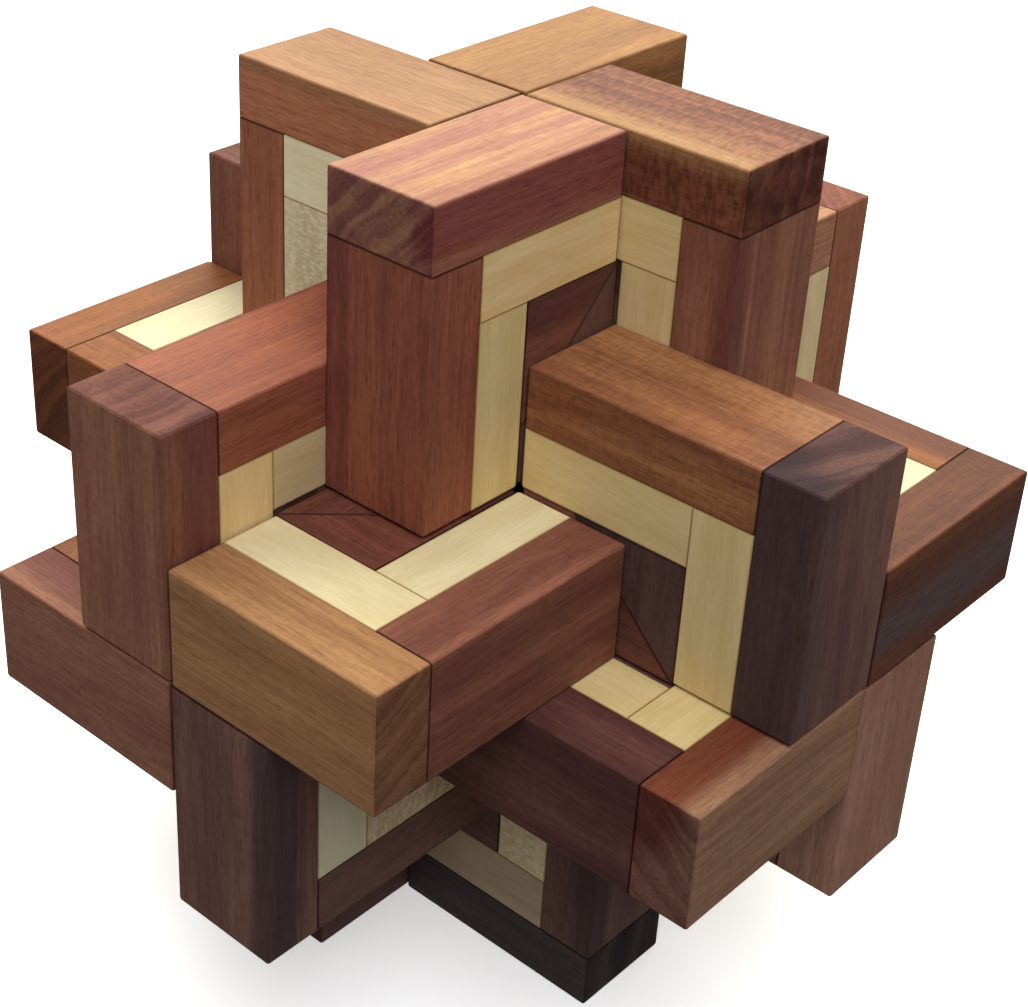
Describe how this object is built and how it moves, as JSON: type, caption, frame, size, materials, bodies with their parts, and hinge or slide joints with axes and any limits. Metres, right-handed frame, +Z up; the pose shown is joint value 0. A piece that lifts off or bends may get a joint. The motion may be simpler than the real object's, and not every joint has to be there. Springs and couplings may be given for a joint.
{
  "type": "wooden burr puzzle",
  "caption": "Interlocking burr of laminated dark and light wood whose equal puzzle pieces slide apart from the middle all at once and come free together.",
  "frame": {"origin": "on the surface that the puzzle stands on, under its middle", "axes": "+Z up; +X, -X, +Y and -Y out through the right, left, back and front puzzle pieces"},
  "size_m": [0.112, 0.112, 0.112],
  "materials": {
    "dark_wood": "oiled mahogany-like hardwood, satin",
    "light_wood": "pale close-grained wood, satin",
    "core_wood": "dark red-brown hardwood, satin"
  },
  "bodies": {
    "bottom": {"bottom_arm_frame_1": "dark_wood", "bottom_hook_frame_1": "dark_wood", "bottom_liner_pair_1": "light_wood", "bottom_wedge_1": "core_wood", "bottom_arm_frame_2": "dark_wood", "bottom_hook_frame_2": "dark_wood", "bottom_liner_pair_2": "light_wood", "bottom_wedge_2": "core_wood", "bottom_core": "core_wood"},
    "top": {"top_arm_frame_1": "dark_wood", "top_hook_frame_1": "dark_wood", "top_liner_pair_1": "light_wood", "top_wedge_1": "core_wood", "top_arm_frame_2": "dark_wood", "top_hook_frame_2": "dark_wood", "top_liner_pair_2": "light_wood", "top_wedge_2": "core_wood", "top_core": "core_wood"},
    "right": {"right_arm_frame_1": "dark_wood", "right_hook_frame_1": "dark_wood", "right_liner_pair_1": "light_wood", "right_wedge_1": "core_wood", "right_arm_frame_2": "dark_wood", "right_hook_frame_2": "dark_wood", "right_liner_pair_2": "light_wood", "right_wedge_2": "core_wood", "right_core": "core_wood"},
    "left": {"left_arm_frame_1": "dark_wood", "left_hook_frame_1": "dark_wood", "left_liner_pair_1": "light_wood", "left_wedge_1": "core_wood", "left_arm_frame_2": "dark_wood", "left_hook_frame_2": "dark_wood", "left_liner_pair_2": "light_wood", "left_wedge_2": "core_wood", "left_core": "core_wood"},
    "front": {"front_arm_frame_1": "dark_wood", "front_hook_frame_1": "dark_wood", "front_liner_pair_1": "light_wood", "front_wedge_1": "core_wood", "front_arm_frame_2": "dark_wood", "front_hook_frame_2": "dark_wood", "front_liner_pair_2": "light_wood", "front_wedge_2": "core_wood", "front_core": "core_wood"},
    "back": {"back_arm_frame_1": "dark_wood", "back_hook_frame_1": "dark_wood", "back_liner_pair_1": "light_wood", "back_wedge_1": "core_wood", "back_arm_frame_2": "dark_wood", "back_hook_frame_2": "dark_wood", "back_liner_pair_2": "light_wood", "back_wedge_2": "core_wood", "back_core": "core_wood"}
  },
  "joints": [
    {"name": "top_slide", "type": "slide", "parent": "bottom", "child": "top", "axis": [0, 0, 1], "range_m": [0, 0.036]},
    {"name": "right_slide", "type": "slide", "parent": "bottom", "child": "right", "axis": [0.7071, 0, 0.7071], "range_m": [0, 0.02547]},
    {"name": "left_slide", "type": "slide", "parent": "bottom", "child": "left", "axis": [-0.7071, 0, 0.7071], "range_m": [0, 0.02547]},
    {"name": "front_slide", "type": "slide", "parent": "bottom", "child": "front", "axis": [0, -0.7071, 0.7071], "range_m": [0, 0.02547]},
    {"name": "back_slide", "type": "slide", "parent": "bottom", "child": "back", "axis": [0, 0.7071, 0.7071], "range_m": [0, 0.02547]}
  ],
  "couplings": [
    {"joint": "right_slide", "follows": "top_slide", "ratio": 0.70711},
    {"joint": "left_slide", "follows": "top_slide", "ratio": 0.70711},
    {"joint": "front_slide", "follows": "top_slide", "ratio": 0.70711},
    {"joint": "back_slide", "follows": "top_slide", "ratio": 0.70711}
  ]
}
